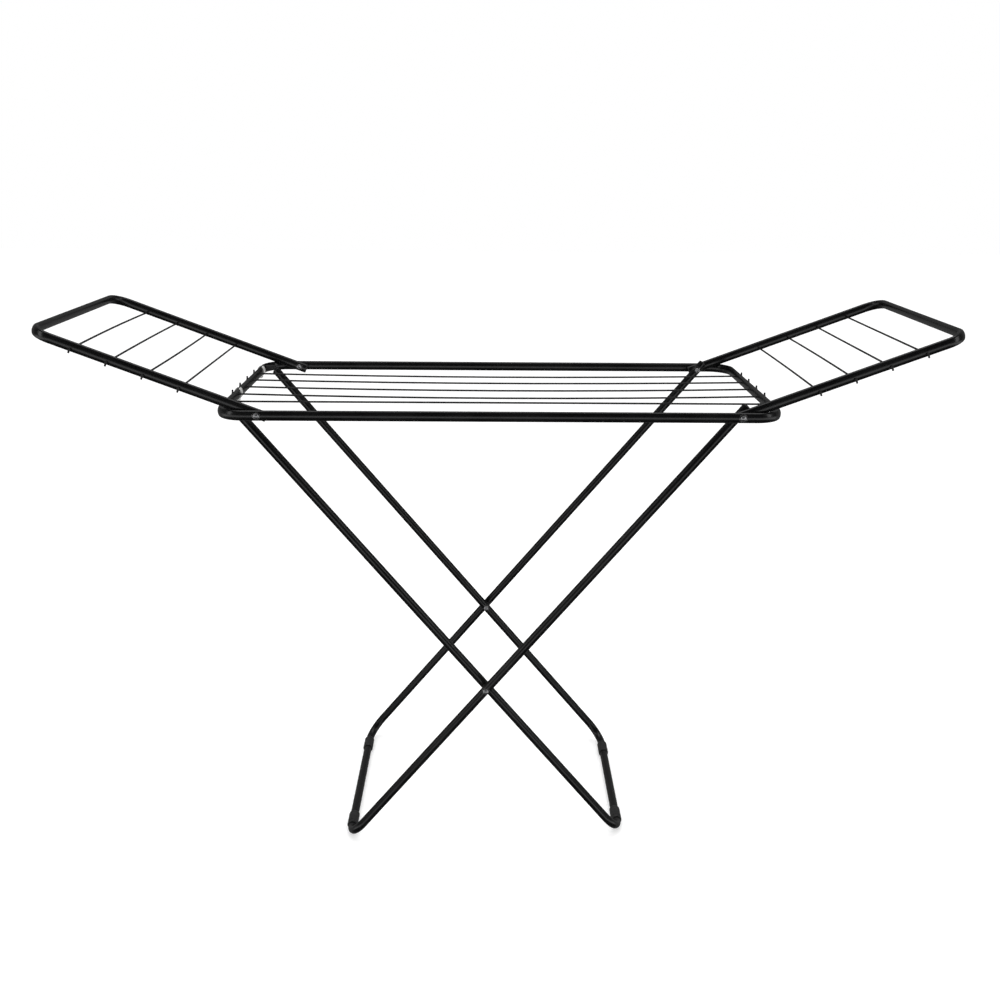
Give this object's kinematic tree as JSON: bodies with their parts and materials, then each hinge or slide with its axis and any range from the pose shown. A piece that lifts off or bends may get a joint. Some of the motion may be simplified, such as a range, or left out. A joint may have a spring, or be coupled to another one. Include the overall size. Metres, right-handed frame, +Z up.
{
  "type": "clothes drying rack",
  "caption": "Folding winged clothes drying rack: oval tube frame with drying lines, a hinged wing at each end and crossed folding legs.",
  "frame": {"origin": "on the floor under the middle of the open rack", "axes": "+X along the rack towards the end where leg frame A is hinged, +Y from front to back, +Z up"},
  "size_m": [1.7672, 0.553, 1.1102],
  "materials": {
    "black_powder_coat": "satin black powder coat on steel tube",
    "coated_line": "smooth dark plastic coat on steel wire",
    "black_plastic": "moulded black plastic",
    "foot_plastic": "moulded black plastic, lightly scuffed",
    "bright_steel": "bright zinc-plated rivet steel",
    "zinc_steel": "plain steel, inside the tubes",
    "clear_grey_plastic": "light grey plastic"
  },
  "bodies": {
    "frame": {"frame_left": "black_powder_coat", "frame_right": "black_powder_coat", "frame_sleeves": "zinc_steel", "centre_line_ends": "coated_line", "rail_clips": "clear_grey_plastic", "centre_line_1": "coated_line", "centre_line_2": "coated_line", "centre_line_3": "coated_line", "centre_line_4": "coated_line", "centre_line_5": "coated_line", "left_hinge_rivets": "bright_steel", "left_hinge_washers": "black_plastic", "right_hinge_rivets": "bright_steel", "right_hinge_washers": "black_plastic"},
    "leg_a": {"leg_a_tube": "black_powder_coat", "leg_a_feet": "foot_plastic", "leg_a_plugs": "black_plastic", "scissor_rivets": "bright_steel", "scissor_spacers": "black_plastic"},
    "leg_b": {"leg_b_tube": "black_powder_coat", "leg_b_feet": "foot_plastic", "leg_b_seats": "black_plastic"},
    "wing_left": {"wing_left_tube": "black_powder_coat", "wing_left_ends": "coated_line", "wing_left_plugs": "black_plastic", "wing_left_line_1": "coated_line", "wing_left_line_2": "coated_line", "wing_left_line_3": "coated_line", "wing_left_line_4": "coated_line"},
    "wing_right": {"wing_right_tube": "black_powder_coat", "wing_right_ends": "coated_line", "wing_right_plugs": "black_plastic", "wing_right_line_1": "coated_line", "wing_right_line_2": "coated_line", "wing_right_line_3": "coated_line", "wing_right_line_4": "coated_line"}
  },
  "joints": [
    {"name": "fold", "type": "hinge", "parent": "frame", "child": "leg_a", "pos_m": [0.461, 0, 0.945], "axis": [0, 1, 0], "range_deg": [0, 49]},
    {"name": "scissor", "type": "hinge", "parent": "leg_a", "child": "leg_b", "pos_m": [-0.02521, 0, 0.3604], "axis": [0, 1, 0], "range_deg": [0, 76.3]},
    {"name": "wing_left_fold", "type": "hinge", "parent": "frame", "child": "wing_left", "pos_m": [-0.461, 0, 0.945], "axis": [0, 1, 0], "range_deg": [0, 155]},
    {"name": "wing_right_fold", "type": "hinge", "parent": "frame", "child": "wing_right", "pos_m": [0.461, 0, 0.945], "axis": [0, -1, 0], "range_deg": [0, 144]}
  ],
  "couplings": [
    {"joint": "scissor", "follows": "fold", "ratio": 1.5571}
  ]
}
